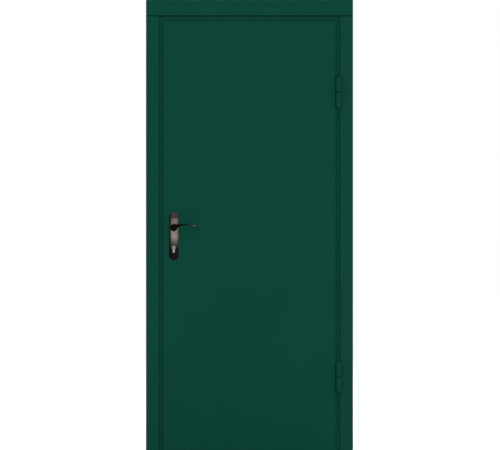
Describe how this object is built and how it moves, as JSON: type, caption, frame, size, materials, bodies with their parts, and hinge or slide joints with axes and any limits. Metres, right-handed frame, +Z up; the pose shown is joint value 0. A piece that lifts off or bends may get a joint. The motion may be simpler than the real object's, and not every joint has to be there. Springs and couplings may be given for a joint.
{
  "type": "steel entrance door in its frame",
  "caption": "Single-leaf steel entrance door in a tube frame with sheet architraves, external barrel hinges, a mortise lock and lever handles on long plates.",
  "frame": {"origin": "centre of the underside of the threshold, at the middle of the frame's depth", "axes": "+Z up, +Y into the building, +X to the right seen from outside"},
  "size_m": [0.96, 0.17, 2.12],
  "materials": {
    "door_paint": "satin powder coat",
    "plated_steel": "zinc plated",
    "plain_steel": "bright steel",
    "bearing_steel": "ground",
    "satin_nickel": "satin nickel",
    "antique_copper": "antique copper, patinated",
    "seal_rubber": "matt"
  },
  "bodies": {
    "frame": {"jamb_left": "door_paint", "jamb_right": "door_paint", "head_rail": "door_paint", "threshold": "door_paint", "architrave_left": "door_paint", "architrave_right": "door_paint", "architrave_top": "door_paint", "strike_plate": "plated_steel", "anchor_lug_left_1": "door_paint", "anchor_lug_left_2": "door_paint", "anchor_lug_left_3": "door_paint", "anchor_lug_left_4": "door_paint", "anchor_lug_right_1": "door_paint", "anchor_lug_right_2": "door_paint", "anchor_lug_right_3": "door_paint", "anchor_lug_right_4": "door_paint", "hinge_top_frame_half": "door_paint", "hinge_bottom_frame_half": "door_paint", "hinge_top_washer": "bearing_steel", "hinge_top_pin": "plain_steel"},
    "leaf": {"leaf_skin": "door_paint", "leaf_back_panel": "door_paint", "leaf_seal": "seal_rubber", "lock_case": "plain_steel", "lock_faceplate": "plated_steel", "latch_bolt": "plain_steel", "deadbolt": "plain_steel", "cylinder_body": "satin_nickel", "cylinder_plug_outer": "satin_nickel", "cylinder_plug_inner": "satin_nickel", "handle_plate_outer": "antique_copper", "handle_plate_inner": "antique_copper", "hinge_top_leaf_half": "door_paint", "hinge_bottom_leaf_half": "door_paint", "hinge_bottom_washer": "bearing_steel", "hinge_bottom_pin": "plain_steel"},
    "handle": {"lever_outer": "antique_copper", "lever_inner": "antique_copper", "spindle": "plain_steel"}
  },
  "joints": [
    {"name": "leaf_hinge", "type": "hinge", "parent": "frame", "child": "leaf", "pos_m": [0.4125, -0.048, 1.0295], "axis": [0, 0, 1], "range_deg": [0, 170]},
    {"name": "handle_turn", "type": "hinge", "parent": "leaf", "child": "handle", "pos_m": [-0.351, -0.008, 1.062], "axis": [0, 1, 0], "range_deg": [0, 40], "stiffness_Nm_per_rad": 1.2, "springref_deg": -45.84}
  ]
}
